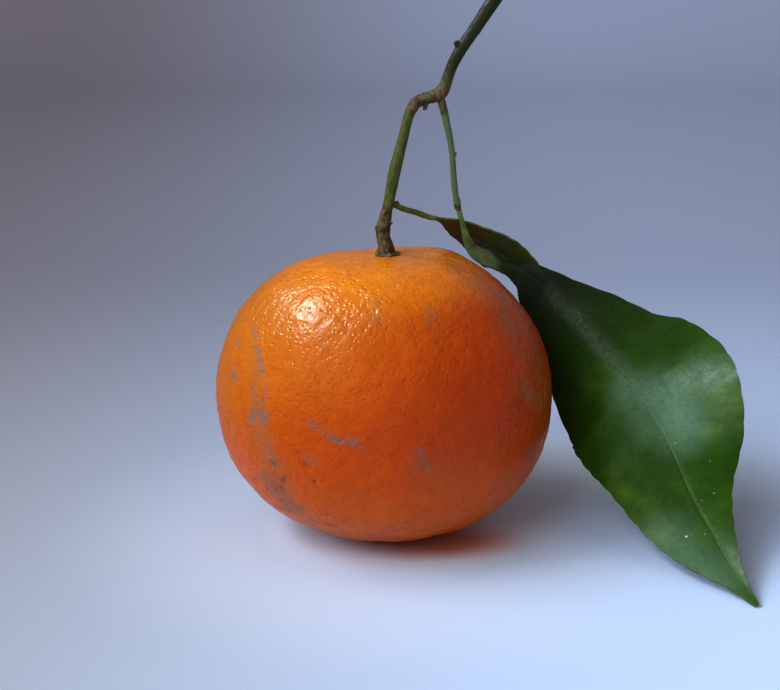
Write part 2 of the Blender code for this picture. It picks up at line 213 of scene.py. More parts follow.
GROOVE_WIDTH = 0.45

# Where along a path the midrib starts to show palest, is so, and is so no more.
PALE_RIB = (54, 66, 76, 92)

# How the two sides of a leaf look: the settings with their colours, where along the path
# the second colour starts and is full, and how plain the veins are. That second colour is
# painted shade near the stalk on the upper side, and painted warm light there underneath.
LEAF_SIDES = {
    "upper": {
        "tone": "upper", "painted_stalk_end": "base", "painted_stalk_end_span": (64.0, 28.0),
        "veins": 0.04, "net": 0.04, "relief": -0.008, "roughness": 0.36,
    },
    "under": {
        "tone": "lower", "painted_stalk_end": "painted_stalk_end", "painted_stalk_end_span": (38.0, 16.0),
        "veins": 0.42, "net": 0.22, "relief": 0.10, "roughness": 0.55,
    },
}

# Small touches of colour that are no settings, and the way towards the light that the rind's painted lit
# side faces.
PAINTED_LIGHT_WAY = (-0.60, -0.10, 0.79)
PALE_RIND = (0.42, 0.25, 0.11)
DARK_RIND = (0.10, 0.035, 0.02)
FRECKLE = (0.20, 0.06, 0.03)
GREY_BARK = (0.128, 0.096, 0.052)
LENTICEL = (0.17, 0.15, 0.10)
DARK_JOINT = (0.030, 0.026, 0.018)
PITH = (0.78, 0.75, 0.62)
LEAF_SPECK = (0.34, 0.40, 0.26)
LEAF_JOINT = (0.11, 0.085, 0.055)

# The photograph's frame, and marks by the pixels where they show in it, for each kind:
# (half width in mm, strength, pixels that the mark runs through).
FRAME_WIDTH = 780
FRAME_HEIGHT = 690
SENSOR_WIDTH = 36.0
RIND_MARKS = {
    "scurf": [
        (0.8, 0.6, (254, 328), (256, 338)), (0.7, 0.9, (259, 350), (262, 372)),
        (1.0, 0.8, (233, 371), (235, 379)), (0.8, 0.5, (237, 338), (239, 346)),
        (0.6, 0.7, (253, 386), (255, 402)), (0.5, 0.5, (267, 384), (266, 402)),
        (1.1, 1.0, (250, 420), (257, 411), (266, 414), (264, 422)),
        (1.0, 0.6, (270, 448), (275, 462)), (2.4, 0.75, (268, 480), (280, 494), (294, 506)),
        (0.5, 0.8, (308, 421), (316, 429), (328, 434), (337, 441)),
        (0.6, 1.0, (333, 440), (345, 442), (357, 442)), (0.4, 0.6, (357, 443), (364, 450)),
        (0.8, 0.6, (419, 450), (421, 460), (427, 469)), (0.8, 0.6, (308, 458), (313, 462)),
        (1.0, 0.4, (430, 312), (431, 322)), (1.0, 0.5, (524, 384), (530, 398)),
        (1.0, 0.5, (528, 450), (532, 460)), (0.3, 0.4, (322, 338), (324, 352)),
        (0.9, 0.4, (275, 505), (300, 512)),
    ],
    "dark": [
        (0.28, 1.0, (276, 488), (281, 489), (282, 482), (286, 476)),
        (0.45, 0.9, (280, 489), (284, 492)), (0.22, 0.9, (261, 484), (266, 488)),
        (0.25, 0.9, (246, 437), (247, 438)), (0.4, 0.7, (272, 462), (274, 464)),
        (0.4, 0.6, (297, 451), (299, 453)), (0.4, 0.6, (320, 514), (327, 513)),
        (0.3, 0.6, (262, 396), (264, 400)), (0.6, 0.9, (313, 480), (314, 482)),
        (0.5, 0.6, (264, 486), (274, 496), (284, 503)), (0.5, 0.6, (300, 462), (306, 466)),
        (0.5, 0.6, (326, 523), (336, 526)), (0.5, 0.6, (284, 502), (289, 511)),
    ],
    "pale": [
        (0.9, 0.9, (403, 264), (404, 266)), (1.3, 0.6, (389, 276), (396, 290)),
        (0.4, 0.4, (432, 308), (424, 313)), (0.3, 0.4, (376, 309), (384, 307)),
        (0.5, 0.9, (512, 322), (513, 325)), (0.9, 0.5, (408, 253), (450, 252)),
        (0.3, 0.5, (393, 310), (401, 310)), (0.5, 0.7, (438, 263), (450, 262)),
        (0.8, 0.4, (470, 268), (478, 272)), (0.7, 0.5, (232, 425), (236, 435)),
        (0.4, 0.6, (243, 426), (247, 440)), (0.6, 0.4, (299, 490), (308, 493)),
    ],
    "dull": [
        (4.0, 0.8, (224, 440), (240, 475), (266, 505), (300, 525)),
        (3.4, 0.6, (262, 440), (275, 470), (290, 505)),
        (1.6, 0.45, (255, 345), (257, 380), (262, 420)),
        (5.0, 0.6, (505, 300), (530, 350), (545, 400)),
        (4.5, 0.6, (410, 256), (450, 262), (490, 290), (515, 330)),
        (1.8, 0.5, (372, 300), (378, 318)), (3.0, 0.3, (420, 470), (455, 480)),
        (2.4, 0.5, (520, 380), (536, 400)),
    ],
}
LEAF_MARKS = {
    "patch": [
        (2.6, 0.75, (726, 392), (734, 400), (738, 412)), (2.4, 0.5, (716, 405), (730, 414)),
        (1.9, 0.7, (706, 430), (716, 428)), (1.8, 0.5, (733, 418), (737, 424)),
        (2.0, 0.3, (666, 428), (672, 434)), (2.8, 0.25, (590, 385), (604, 380)),
        (2.2, 0.25, (586, 425), (596, 428)), (2.2, 0.4, (722, 488), (716, 500)),
        (2.0, 0.5, (652, 528), (662, 536)), (2.6, 0.3, (640, 505), (650, 520)),
        (1.6, 0.35, (610, 470), (628, 500), (648, 530)),
    ],
    "dust": [
        (2.0, 0.75, (552, 292), (578, 318), (606, 352), (636, 384)),
        (3.0, 0.2, (556, 296), (580, 312)), (2.6, 0.2, (614, 404), (628, 424)),
    ],
    # Painted sheen: paler blue-green where the upper side's gloss catches the light, beside the midrib
    # and near the tip.
    "bloom": [
        (5.5, 1.0, (657, 394), (668, 404), (682, 422)),
        (3.5, 0.55, (624, 392), (638, 402), (652, 428)), (7.0, 0.4, (700, 385), (715, 400)),
        (5.0, 0.6, (664, 540), (690, 562), (715, 580)),
    ],
    "speck": [
        (3.0, 1.0, (660, 532), (684, 538), (716, 540)),
        (9.0, 0.5, (600, 330), (650, 400), (700, 500)),
    ],
}

CAMERA_TARGET = (1.34, 3.21, 41.43)
SWEEP_HALF_WIDTH = 1400
SWEEP_FRONT = -700
SWEEP_BACK = 900
SWEEP_BEND = 300
SWEEP_RISE = 1300

# Where the sweep's paper starts to be brighter and is so, from left to right, and where
# its front turns into the backdrop's colours. The dimmer left and the darker backdrop are
# painted shade.
SWEEP_BRIGHTENS = (-200.0, 120.0)
SWEEP_TURNS = (-80.0, 250.0)
NEAR_WALLS_WAY = (-0.50, -0.86, 0.0)
VIEW_GAMMA = 0.78

# Light that the paper and the fruit throw back and forth close to where it rests: (centre,
# stretch, where the tint starts, where it is full, its most, its colour).
FLOOR_TINTS = [
    ((4.0, 0.0, 0.0), (1.0, 1.0, 0.0), 85.0, 34.0, 0.14, (0.95, 0.95, 1.0)),
    ((4.0, 0.0, 0.0), (1.0, 1.0, 0.0), 33.0, 20.0, 0.25, (0.95, 0.90, 1.0)),
    ((44.0, 26.0, 0.0), (1.0, 0.9, 0.0), 42.0, 8.0, 0.6, (0.70, 0.80, 1.0)),
    ((11.0, -10.0, 0.0), (1.0, 2.0, 0.0), 25.0, 6.0, 0.85, (0.55, 0.14, 0.05)),
]

# The lights, whose powers are settings: the way from the fruit to each, how far off it
# is, its width and height, its tint, its turn in degrees and what it shows in.
LIGHTS = {
    "window": ((-0.60, -0.12, 0.79), 1240, (800, 300), (0.84, 0.93, 1.0), 0, "diffuse"),
    "glint": ((-0.54, 0.20, 0.80), 1242, (620, 190), (0.84, 0.93, 1.0), 28, "glossy"),
    "front": ((-0.62, -0.54, 0.57), 2000, (2100, 1360), (0.70, 0.89, 1.0), 0, "diffuse"),
}


def length(name, description, default):
    """A length setting in metres, from its default in millimetres."""
    return FloatProperty(
        name=name, description=description, default=default * MM, min=0.0, unit="LENGTH", precision=5
    )


def power(name, description, default):
    return FloatProperty(name=name, description=description, default=default, min=0.0, unit="POWER")


def colour(name, description, default):
    return FloatVectorProperty(
        name=name, description=description, default=default, min=0.0, max=1.0, size=3, subtype="COLOR"
    )


class RindSettings(PropertyGroup):
    faces: IntProperty(
        name="Faces", description="Faces along each side of the rind's mesh", default=128, min=8
    )
    gland_spacing: length("Gland spacing", "How far apart the oil glands' pits are", 1.05)
    gland_depth: length("Gland depth", "How deep the pits are", 0.09)
    flesh: colour("Rind", "Colour of the rind between the pits", (0.385, 0.058, 0.0006))
    pit: colour("Pits", "Colour in the pits", (0.315, 0.038, 0.0004))
    ripe: colour("Ripest", "Colour of the ripest patches", (0.375, 0.047, 0.0005))
    # Painted light: the rind is yellower on the side that faces the window light.
    painted_lit_side: colour("Painted lit side", "Colour of the yellower upper left", (0.42, 0.138, 0.003))
    # Partly the rind's own paler colour near the stem, partly painted light on the top.
    shoulder: colour("Shoulder", "Colour of the palest rind round the stem", (0.65, 0.217, 0.005))
    # Painted light: the rind is paler low down, as if lit from the floor.
    foot: colour("Foot", "Colour of the paler rind low down", (0.59, 0.120, 0.002))
    scurf: colour("Scurf", "Colour of the rubbed grey scars", (0.155, 0.110, 0.098))
    dull: colour("Dull patches", "Colour of the dull brownish patches", (0.27, 0.11, 0.04))
    roughness: FloatProperty(
        name="Roughness",
        description="Roughness of the wax",
        default=0.285,
        min=0.0,
        max=1.0,
        subtype="FACTOR",
    )


class CalyxSettings(PropertyGroup):
    dried: colour("Dried sepals", "Colour of the dried sepals", (0.050, 0.036, 0.018))
    worn: colour("Worn edges", "Colour of their paler edges", (0.13, 0.10, 0.055))


class StemSettings(PropertyGroup):
    voxel: length("Voxel", "Size of the voxels that the wood's pieces grow together with", 0.13)
    young: colour("Young bark", "Colour of the green bark", (0.052, 0.060, 0.014))
    # Painted shade: the bark is darker high up on the stem.
    shaded: colour("Painted shade high up", "Colour of the dark green bark high up", (0.024, 0.026, 0.010))
    twig: colour("Twig", "Colour of the side twig's bluish green bark", (0.100, 0.132, 0.064))
    old: colour("Old bark", "Colour of the brown, corky bark", (0.058, 0.036, 0.018))
    wood: colour("Wood", "Colour of the wood at the cut", (0.62, 0.55, 0.30))


class LeafSettings(PropertyGroup):
    thickness: length("Thickness", "Thickness of the blade", 0.42)
    stalk: length("Stalk", "Thickness of the stalk", 1.25)
    vein_spacing: length("Vein spacing", "How far apart the side veins leave the midrib", 6.2)
    upper: colour("Upper side", "Colour of the upper side", (0.018, 0.050, 0.002))
    lower: colour("Underside", "Colour of the underside", (0.068, 0.088, 0.004))
    # Painted warm light on the underside near the stalk.
    painted_stalk_end: colour("Painted warm light, underside", "Colour of the underside near the stalk", (0.110, 0.060, 0.003))
    # Painted shade on the upper side near the stalk.
    base: colour("Base", "Colour of the upper side near the stalk", (0.011, 0.014, 0.007))
    patch: colour("Pale patches", "Colour of the yellowing patches", (0.12, 0.145, 0.015))
    rib: colour("Midrib", "Colour of the midrib and the side veins", (0.085, 0.135, 0.04))
    dust: colour("Dust", "Colour of the grey dust near the midrib", (0.085, 0.100, 0.075))
    # The colour of the painted sheen on the upper side.
    bloom: colour("Bloom", "Colour of the pale waxy bloom", (0.100, 0.160, 0.105))
    stalk_green: colour("Stalk colour", "Colour of the stalk", (0.115, 0.145, 0.055))


class StageSettings(PropertyGroup):
    elevation: FloatProperty(
        name="Elevation",
        description="How far above the horizon the camera stands",
        default=math.radians(17.0),
        subtype="ANGLE",
        unit="ROTATION",
    )
    distance: length("Distance", "How far the camera is from what it looks at", 420.0)
    lens: FloatProperty(
        name="Lens", description="Focal length of the camera in mm", default=87.355, unit="CAMERA"
    )
    floor: colour("Floor", "Colour of the sweep in front at the right", (0.50, 0.572, 0.77))
    # Painted shade at the left of the sweep.
    painted_shade_floor: colour("Dim floor", "Colour of the sweep in front at the left", (0.227, 0.195, 0.187))
    # Painted shade: the backdrop is darker than the floor.
    backdrop: colour("Backdrop", "Colour of the sweep behind at the right", (0.259, 0.278, 0.374))
    painted_shade_backdrop: colour("Dim backdrop", "Colour of the sweep behind at the left", (0.137, 0.113, 0.133))
    window: power("Window", "Power of the window's light", 8.5)
    glint: power("Glint", "Power of the window's light in the gloss alone", 25.0)
    front: power("Front", "Power of the light above the front", 60.0)
    walls: colour("Walls", "Light from the room's walls", (0.72, 0.55, 0.44))
    near_walls: colour("Near walls", "Light from the walls in front at the left", (1.0, 0.86, 0.80))
    ceiling: colour("Ceiling", "Light from the room's ceiling", (0.49, 0.50, 0.43))


def smooth_through(knots, values, places):
    """The natural cubic through values at the knots, read at the places."""
    knots = np.asarray(knots, float)
    values = np.asarray(values, float).reshape(len(knots), -1)
    gaps = np.diff(knots)
    matrix = np.eye(len(knots))
    right = np.zeros_like(values)
    for i in range(1, len(knots) - 1):
        matrix[i, i - 1 : i + 2] = gaps[i - 1], 2 * (gaps[i - 1] + gaps[i]), gaps[i]
        right[i] = 6 * (values[i + 1] - values[i]) / gaps[i]
        right[i] -= 6 * (values[i] - values[i - 1]) / gaps[i - 1]
    bend = np.linalg.solve(matrix, right)
    i = np.clip(np.searchsorted(knots, places, side="right") - 1, 0, len(gaps) - 1)
    gap = gaps[i][:, None]
    before = (knots[i + 1] - places)[:, None] / gap
    after = 1 - before
    bulge = (before**3 - before) * bend[i] + (after**3 - after) * bend[i + 1]
    return before * values[i] + after * values[i + 1] + bulge * gap**2 / 6


def distances(points):
    """How far along the chain each of its points lies."""
    steps = np.linalg.norm(np.diff(points, axis=0), axis=1)
    return np.concatenate([[0.0], np.cumsum(steps)])


def unit(vectors):
    return vectors / np.linalg.norm(vectors, axis=-1, keepdims=True)


def ease(value, start, end):
    """0 at start and before, 1 at end and past it, and smooth between."""
    t = np.clip((value - start) / (end - start), 0, 1)
    return t * t * (3 - 2 * t)


def ripple(points, size, seed, waves=28):
    """A smooth field of about -1 to 1 whose swellings are about size across."""
    draw = np.random.default_rng(seed)
    ways = unit(draw.normal(size=(waves, 3))) * (2 * math.pi / size)
    ways *= draw.uniform(0.7, 1.3, (waves, 1))
    starts = draw.uniform(0, 2 * math.pi, waves)
    return np.sin(points @ ways.T + starts).sum(axis=1) / math.sqrt(waves)


def line_distance(points, line):
    """How far each point is from a chain of points."""
    nearest = np.full(len(points), np.inf)
    for start, end in zip(line[:-1], line[1:]):
        way = end - start
        t = np.clip((points - start) @ way / max(way @ way, 1e-9), 0, 1)
        gap = np.linalg.norm(points - start - t[:, None] * way, axis=1)
        nearest = np.minimum(nearest, gap)
    return nearest


def scaled(tone, factor):
    """The colour, lighter or darker by the factor."""
    return tuple(min(1.0, factor * part) for part in tone)


def camera_axes(settings):
    """Where the camera stands in mm, and its right, up and forward directions."""
    tilt = settings.elevation
    right = np.array([1.0, 0.0, 0.0])
    up = np.array([0.0, math.sin(tilt), math.cos(tilt)])
    forward = np.array([0.0, math.cos(tilt), -math.sin(tilt)])
    place = np.array(CAMERA_TARGET) - forward * settings.distance / MM
    return place, right, up, forward


def seen_at(pixel, tree, settings):
    """The point in mm of the tree's surface that shows at a pixel of the photograph."""
    place, right, up, forward = camera_axes(settings)
    focal = settings.lens / SENSOR_WIDTH * FRAME_WIDTH
    ray = forward * focal + right * (pixel[0] - FRAME_WIDTH / 2) + up * (FRAME_HEIGHT / 2 - pixel[1])
    hit = tree.ray_cast(Vector(place) * MM, Vector(ray).normalized())[0]
    return None if hit is None else np.array(hit) / MM


def cad_tree(node):
    """A search tree of a solid's surface."""
    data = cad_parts[node].data
    corners = [vertex.co for vertex in data.vertices]
    return BVHTree.FromPolygons(corners, [face.vertices for face in data.polygons])


def set_attribute(data, name, values):
    attribute = data.attributes.new(name, "FLOAT", "POINT")
    attribute.data.foreach_set("value", np.asarray(values, np.float32))


def add_marks(data, points, tree, marks, settings):
    """Stores how strongly each point carries each kind of mark."""
    for kind, lines in marks.items():
        strength = np.zeros(len(points))
        for half_width, amount, *pixels in lines:
            line = [seen_at(pixel, tree, settings) for pixel in pixels]
            line = np.array([point for point in line if point is not None])
            if len(line) > 1:
                gap = line_distance(points, line)
                strength = np.maximum(strength, amount * ease(gap, 2.0 * half_width, 0))
        set_attribute(data, kind, strength)


def place_points(data, points):
    """Moves a mesh's vertices to points in mm."""
    data.vertices.foreach_set("co", (np.asarray(points) * MM).astype(np.float32).ravel())
    data.update()


def points_of(data):
    """A mesh's vertices in mm."""
    flat = np.empty(len(data.vertices) * 3, np.float32)
    data.vertices.foreach_get("co", flat)
    return flat.reshape(-1, 3).astype(float) / MM


def normals_of(data):
    flat = np.empty(len(data.vertices) * 3, np.float32)
    data.vertex_normals.foreach_get("vector", flat)
    return flat.reshape(-1, 3).astype(float)


def mesh_from(mesh, name):
    """A new mesh with the name, from a bmesh that is then done with."""
    data = bpy.data.meshes.new(name)
    mesh.to_mesh(data)
    mesh.free()
    return data


def show(name, data):
    thing = bpy.data.objects.new(name, data)
    bpy.context.scene.collection.objects.link(thing)
    return thing


def settled(thing):
    """The mesh that an object ends up with. The object itself goes."""
    graph = bpy.context.evaluated_depsgraph_get()
    data = bpy.data.meshes.new_from_object(thing.evaluated_get(graph))
    bpy.data.objects.remove(thing, do_unlink=True)
    return data


def add_piece(name, data, node, slot, *materials):
    """Shows the mesh in place of a solid, with its materials."""
    for material in materials:
        data.materials.append(material)
    piece = show(name, data)
    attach(piece, "root")
    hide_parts(node)


class Wire:
    """A node's output. What is done with it adds more nodes."""

    def __init__(self, shade, socket):
        self.shade = shade
        self.socket = socket

    def math(self, operation, *others):
        inputs = dict(enumerate((self, *others)))
        return self.shade.add("ShaderNodeMath", 0, inputs, operation=operation)

    def __add__(self, other):
        return self.math("ADD", other)

    def __sub__(self, other):
        return self.math("SUBTRACT", other)

    def __mul__(self, other):
        return self.math("MULTIPLY", other)

    def __truediv__(self, other):
        return self.math("DIVIDE", other)

    def vector(self, operation, *others, **scale):
        output = "Value" if operation in ("LENGTH", "DISTANCE", "DOT_PRODUCT") else "Vector"
        inputs = {**dict(enumerate((self, *others))), **scale}
        return self.shade.add("ShaderNodeVectorMath", output, inputs, operation=operation)

    def part(self, axis):
        return self.shade.add("ShaderNodeSeparateXYZ", axis, {"Vector": self})

    def fade(self, start, end, low=0.0, high=1.0):
        """Goes smoothly from low at start to high at end."""
        inputs = {"Value": self, "From Min": start, "From Max": end, "To Min": low, "To Max": high}
        return self.shade.add("ShaderNodeMapRange", "Result", inputs, interpolation_type="SMOOTHSTEP")

    def texture(self, kind, output, size, inputs=None, **settings):
        """A texture at this place, whose features are about size across."""
        scale = self.shade.add("ShaderNodeMath", 0, {0: 1.0, 1: size}, operation="DIVIDE")
        inputs = {"Vector": self, "Scale": scale, **(inputs or {})}
        return self.shade.add(kind, output, inputs, **settings)

    def noise(self, size, detail=2.0, roughness=0.5):
        return self.texture("ShaderNodeTexNoise", 0, size, {"Detail": detail, "Roughness": roughness})

    def cells(self, size, feature="F1"):
        """The distance to the nearest of many scattered points, or to their cells' edges."""
        return self.texture("ShaderNodeTexVoronoi", "Distance", size, feature=feature)

    def lot(self):
        """A value of 0 to 1 for each of the cells that this is the distance in."""
        tint = Wire(self.shade, self.socket.node.outputs["Color"])
        return self.shade.add("ShaderNodeSeparateColor", "Red", {"Color": tint})

    def mottle(self, size):
        return self.shade.group(mottling(), self, size)[0]

    def grain(self, size, depth):
        return self.shade.group(fine_grain(), self, size, depth)[0]


class Shading:
    """Adds nodes to a shader tree. An input is a value or a wire."""

    def __init__(self, tree):
        self.tree = tree

    def add(self, kind, output, inputs=None, **settings):
        """Adds a node and gives the wire from one of its outputs."""
        node = self.tree.nodes.new(kind)
        for name, value in settings.items():
            setattr(node, name, value)
        for name, value in (inputs or {}).items():
            self.feed(node.inputs[name], value)
        return Wire(self, node.outputs[output])

    def feed(self, socket, value):
        if isinstance(value, Wire):
            self.tree.links.new(value.socket, socket)
        elif socket.type == "RGBA":
            socket.default_value = (*value[:3], 1.0)
        else:
            socket.default_value = value

    def place(self):
        """The surface's place in mm."""
        return self.add("ShaderNodeTexCoord", "Object").vector("SCALE", Scale=1 / MM)

    def stored(self, name):
        """A value that the mesh holds at each of its points."""
        return self.add("ShaderNodeAttribute", "Fac", attribute_name=name)

    def mix(self, factor, first, second):
        """The second colour over the first, as far as the factor says."""
        return self.add("ShaderNodeMix", 2, {0: factor, 6: first, 7: second}, data_type="RGBA")

    def layers(self, tone, *layers):
        """The tone with each layer's colour over it, as far as the layer's mask says."""
        for mask, over in layers:
            tone = self.mix(mask, tone, over)
        return tone

    def group(self, tree, *inputs):
        node = self.add("ShaderNodeGroup", 0, node_tree=tree).socket.node
        for socket, value in zip(node.inputs, inputs):
            self.feed(socket, value)
        return [Wire(self, socket) for socket in node.outputs]


class Surface(Shading):
    """A material with only a Principled shader, whose plain sockets take the settings."""

    def __init__(self, name, settings):
        self.material = bpy.data.materials.new(name)
        self.material.use_nodes = True
        super().__init__(self.material.node_tree)
        self.set(settings)

    def set(self, settings):
        for name, value in settings.items():
            self.feed(self.tree.nodes["Principled BSDF"].inputs[name], value)

    def finish(self, tone, height=None, **others):
        """The material, with its colour and the relief's height in mm."""
        self.set({"Base Color": tone, **others})
        if height is not None:
            inputs = {"Height": height, "Distance": MM, "Strength": 1.0}
            self.set({"Normal": self.add("ShaderNodeBump", "Normal", inputs)})
        return self.material


def shared_group(name, inputs, outputs, fill):
    """A node group, made once. fill(*inputs) gives its outputs in order."""
    tree = bpy.data.node_groups.get(name)
    if tree is None:
        tree = bpy.data.node_groups.new(name, "ShaderNodeTree")
        for label in inputs:
            kind = "NodeSocketVector" if label == "Place" else "NodeSocketFloat"
            tree.interface.new_socket(label, in_out="INPUT", socket_type=kind)
        for label in outputs:
            tree.interface.new_socket(label, in_out="OUTPUT", socket_type="NodeSocketFloat")
        shade = Shading(tree)
        given = tree.nodes.new("NodeGroupInput").outputs
        wires = [Wire(shade, socket) for socket in given[: len(inputs)]]
        result = tree.nodes.new("NodeGroupOutput")
        for socket, value in zip(result.inputs, fill(*wires)):
            shade.feed(socket, value)
    return tree


def mottling():
    """Soft patches of two sizes, from 0 to 1."""

    def fill(place, size):
        small = place.noise(size * 0.27, 3.0)
        both = place.noise(size, 2.0) * 0.65 + small * 0.35
        return [both.fade(0.36, 0.64)]

    return shared_group("Mottling", ["Place", "Size"], ["Mask"], fill)


def fine_grain():
    """A faint uneven relief, as a height in mm."""

    def fill(place, size, depth):
        return [(place.noise(size, 4.0, 0.62) - 0.5) * depth]

    return shared_group("Fine grain", ["Place", "Size", "Depth"], ["Height"], fill)


def leaf_veins():
    """The leaf's side veins, its net of small veins and its midrib, as masks."""

    def fill(place, across, along, spacing):
        out = across.math("ABSOLUTE")
        wander = (place.noise(9.0, 2.0) - 0.5) * 3.2
        rise = out.math("POWER", 1.18) * 0.52
        side = across.math("GREATER_THAN", 0.0) * 0.47
        turn = ((along + wander - rise) / spacing + side).math("FRACT")
        off = (turn - 0.5).math("ABSOLUTE") * spacing
        veins = off.fade(0.34, 0.04) * out.fade(17.0, 6.0, 0.25, 1.0)
        edge = place.cells(1.5, "DISTANCE_TO_EDGE")
        return [veins, edge.fade(0.14, 0.02), out.fade(0.32, 0.12)]

    inputs = ["Place", "Across", "Along", "Spacing"]
    return shared_group("Leaf veins", inputs, ["Veins", "Net", "Rib"], fill)


def rind(directions):
    """Points of the rind in mm, for unit vectors in the fruit's own axes."""
    out = np.hypot(directions[:, 0], directions[:, 1])
    up = directions[:, 2]
    top = up > 0
    height = np.where(top, FRUIT_TOP, FRUIT_BOTTOM)
    power = np.where(top, TOP_SQUARENESS, BOTTOM_SQUARENESS)
    radius = ((out / FRUIT_RADIUS) ** power + (abs(up) / height) ** power) ** (-1 / power)
    shoulder = np.array(SHOULDER_SIDE) / np.linalg.norm(SHOULDER_SIDE)
    away = np.arccos(np.clip(directions @ shoulder, -1, 1))
    radius = radius + SHOULDER_RISE * np.exp(-((away / SHOULDER_SPREAD) ** 2))
    turn = np.arctan2(directions[:, 1], directions[:, 0])
    radius = radius + SEGMENT_SWELL * out**2 * np.cos(SEGMENTS * turn)
    points = directions * radius[:, None]
    spread = np.hypot(points[:, 0], points[:, 1]) / STEM_DIP_RADIUS
    points[:, 2] -= np.where(top, STEM_DIP_DEPTH * np.exp(-(spread**2)), 0)
    points[:, 0] += LEAN * points[:, 2]
    tilt = Matrix.Rotation(-FRUIT_PITCH, 3, "X") @ Matrix.Rotation(FRUIT_ROLL, 3, "Y")
    return points @ np.array(tilt).T + np.array(FRUIT_CENTRE)


def rind_relief(points):
    """How far the rind's swellings, dimples and folds stand out, in mm."""
    relief = np.zeros(len(points))
    for order, (size, height) in enumerate(RIND_SWELLINGS):
        relief += height * ripple(points, size, seed=order)
    dimples = np.maximum(ripple(points, RIND_DIMPLE_SIZE, seed=7), 0)
    relief -= RIND_DIMPLE_DEPTH * dimples
    from_calyx = points[:, :2] - np.array(CALYX_CENTRE)
    reach = np.hypot(*from_calyx.T)
    turn = np.arctan2(from_calyx[:, 1], from_calyx[:, 0])
    folds = np.cos(CALYX_FOLDS * turn + 1.2 * ripple(points, 9.0, seed=8))
    near = np.exp(-((reach / CALYX_FOLD_REACH) ** 2)) * (points[:, 2] > FRUIT_CENTRE[2])
    return relief + CALYX_FOLD_HEIGHT * folds * near


def rind_material(settings):
    flesh = {"Subsurface Radius": (1.0, 0.32, 0.08), "Subsurface Scale": 1.2 * MM}
    shade = Surface("rind_wax", {"Specular IOR Level": 0.25, "Subsurface Weight": 0.08, **flesh})
    where = shade.place()
    depth = settings.gland_depth / MM
    jitter = shade.add("ShaderNodeTexNoise", "Color", {"Vector": where, "Scale": 0.45, "Detail": 1.0})
    bent = where.vector("ADD", jitter.vector("SCALE", Scale=1.2))
    pit = bent.cells(settings.gland_spacing / MM).fade(0.52, 0.08)
    height = pit * -depth + where.noise(1.35, 2.0) * (1.2 * depth)
    height = height + where.grain(0.35, 0.012)
    level = where.part("Z")
    painted_lit_side = where.vector("DOT_PRODUCT", PAINTED_LIGHT_WAY)
    patches = where.mottle(16.0)
    spots = where.mottle(3.0)
    broken = where.noise(0.9, 4.0, 0.75)
    scurf = shade.stored("scurf") * broken.fade(0.37, 0.56)
    dark = shade.stored("dark") * broken.fade(0.40, 0.55)
    spread = where.cells(1 / 0.33)
    chosen = spread.lot().math("GREATER_THAN", 0.72)
    freckle = chosen * spread.fade(0.11, 0.05, 0.0, 0.7)
    tone = shade.layers(
        settings.flesh,
        (patches, settings.ripe),
        # Painted light: yellower towards the window light.
        (painted_lit_side.fade(28.0, 66.0), settings.painted_lit_side),
        # Partly the rind's own paler colour near the stem, partly painted light on the top.
        (level.fade(54.0, 64.0, 0.0, 0.9), settings.shoulder),
        # Painted light: paler low down, as if lit from the floor.
        (level.fade(36.0, 8.0, 0.0, 0.9), settings.foot),
        (pit * 0.12 + spots * 0.2, settings.pit),
        (shade.stored("dull") * where.mottle(4.5).fade(-0.3, 1.0), settings.dull),
        (shade.stored("pale") * broken.fade(0.35, 0.9), PALE_RIND),
        (scurf, settings.scurf),
        (dark, DARK_RIND),
        (freckle, FRECKLE),
    )
    roughness = (scurf + dark) * 0.25 + settings.roughness + spots * 0.06
    return shade.finish(tone, height, Roughness=roughness)


def make_rind(settings, stage):
    mesh = bmesh.new()
    bmesh.ops.create_cube(mesh, size=2)
    bmesh.ops.subdivide_edges(mesh, edges=mesh.edges[:], cuts=settings.faces - 1, use_grid_fill=True)
    data = mesh_from(mesh, "fruit_rind")
    cube = points_of(data) * MM
    points = rind(unit(np.tan(cube * math.pi / 4)))
    outward = unit(points - np.array(FRUIT_CENTRE))
    points = points + outward * rind_relief(points)[:, None]
    points[:, 2] = np.maximum(points[:, 2], 0)
    place_points(data, points)
    data.shade_smooth()
    add_marks(data, points, cad_tree("fruit"), RIND_MARKS, stage)
    add_piece("fruit_rind", data, "fruit", "rind", rind_material(settings))


def calyx_material(settings):
    shade = Surface("sepal_dried", {"Roughness": 0.82})
    where = shade.place()
    worn = (shade.stored("rim") * 0.85).math("MAXIMUM", where.mottle(1.1) * 0.45)
    tone = shade.mix(worn, settings.dried, settings.worn)
    return shade.finish(tone, where.grain(0.35, 0.09))


